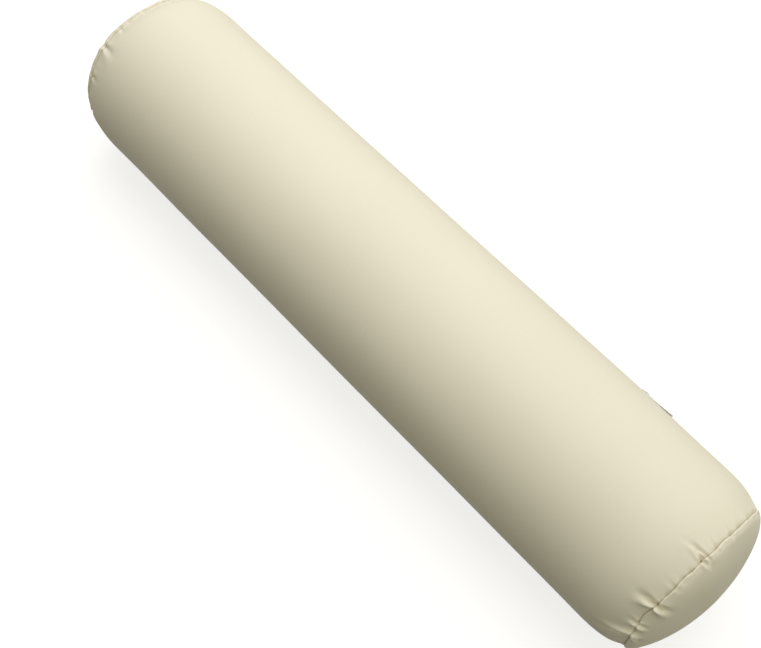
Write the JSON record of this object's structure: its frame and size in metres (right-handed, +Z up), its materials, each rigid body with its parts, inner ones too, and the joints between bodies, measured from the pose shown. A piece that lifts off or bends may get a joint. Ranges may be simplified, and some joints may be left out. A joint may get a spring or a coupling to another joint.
{
  "type": "bolster pillow",
  "caption": "Round stuffed bolster pillow with softly domed ends, and a zipped fabric cover over an inner case, to support knees, ankles or neck.",
  "frame": {"origin": "middle of the flat on the underside, where the stuffed pillow rests on a surface", "axes": "+X along the pillow towards the end that the zip closes to, +Y towards the side that the zip is on, +Z up"},
  "size_m": [0.71, 0.158, 0.152],
  "materials": {
    "cover_fabric": "smooth close-woven cotton-look cloth, matt with a faint sheen",
    "sewing_thread": "spun sewing thread in the cloth's colour",
    "zip_tape": "ribbed woven polyester tape",
    "zip_coil": "smooth nylon monofilament",
    "zip_metal": "die-cast, dull nickel",
    "liner_fabric": "plain white lining cloth",
    "fibre_fill": "loose polyester fibre"
  },
  "bodies": {
    "cushion": {"cover_sleeve": "cover_fabric", "end_panel_left": "cover_fabric", "end_panel_right": "cover_fabric", "end_seam_thread_left": "sewing_thread", "end_seam_thread_right": "sewing_thread", "long_seam_thread_left": "sewing_thread", "long_seam_thread_right": "sewing_thread", "zip_stitching_upper": "sewing_thread", "zip_stitching_lower": "sewing_thread", "zip_tape_upper": "zip_tape", "zip_tape_lower": "zip_tape", "zip_coil_upper": "zip_coil", "zip_coil_lower": "zip_coil", "zip_top_stop_upper": "zip_metal", "zip_top_stop_lower": "zip_metal", "zip_bottom_stop": "zip_metal", "liner_sleeve": "liner_fabric", "liner_end_left": "liner_fabric", "liner_end_right": "liner_fabric", "liner_thread_left": "sewing_thread", "liner_thread_right": "sewing_thread", "fibre_filling": "fibre_fill"},
    "slider": {"zip_slider": "zip_metal"},
    "pull_tab": {"zip_pull_tab": "zip_metal"}
  },
  "joints": [
    {"name": "zip_slide", "type": "slide", "parent": "cushion", "child": "slider", "axis": [1, 0, 0], "range_m": [-0.412, 0]},
    {"name": "pull_tab_hinge", "type": "hinge", "parent": "slider", "child": "pull_tab", "pos_m": [0.21, 0.07471, 0.09835], "axis": [0, -0.3214, 0.9469], "range_deg": [0, 176]}
  ]
}
